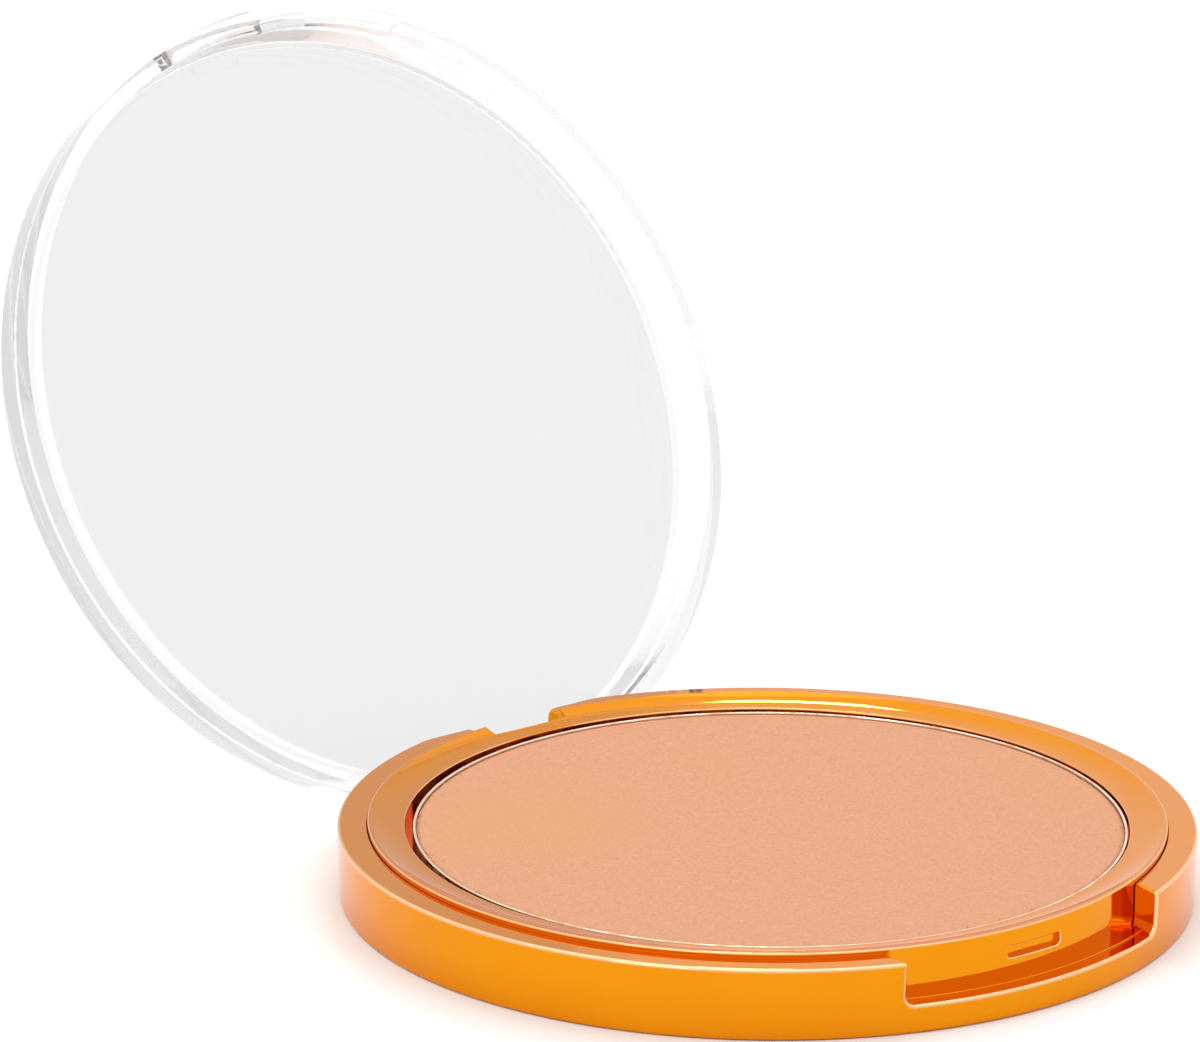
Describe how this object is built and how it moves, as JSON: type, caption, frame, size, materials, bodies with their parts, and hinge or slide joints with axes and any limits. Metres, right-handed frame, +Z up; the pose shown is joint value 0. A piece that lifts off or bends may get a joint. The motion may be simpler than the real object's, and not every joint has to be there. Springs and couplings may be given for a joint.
{
  "type": "powder compact",
  "caption": "Round pocket powder compact with a clear hinged lid, a metallised orange base and a glued-in pan of pressed powder.",
  "frame": {"origin": "centre of the base's underside, on the plane that the compact rests on", "axes": "+Z up; -Y towards the thumb recess; +Y towards the hinge; the hinge axis runs along X"},
  "size_m": [0.071, 0.1087, 0.0629],
  "materials": {
    "metallised_shell": "moulded plastic, vacuum metallised and lacquered orange copper, mirror gloss",
    "metallised_frame": "moulded plastic, vacuum metallised and lacquered orange copper, mirror gloss",
    "pin_steel": "drawn steel wire",
    "clear_plastic": "clear polished plastic",
    "pan_metal": "pressed sheet, satin, bright rim",
    "powder": "fine pressed powder, matt, peach",
    "glue": "hot glue, dull",
    "label_paper": "blank coated paper"
  },
  "bodies": {
    "base": {"base_shell": "metallised_shell", "inner_frame": "metallised_frame", "hinge_pin": "pin_steel", "metal_pan": "pan_metal", "pressed_powder": "powder", "pan_glue": "glue", "base_label": "label_paper"},
    "lid": {"clear_lid": "clear_plastic"}
  },
  "joints": [
    {"name": "lid_hinge", "type": "hinge", "parent": "base", "child": "lid", "pos_m": [0, 0.0332, 0.0032], "axis": [1, 0, 0], "range_deg": [0, 118.7]}
  ]
}
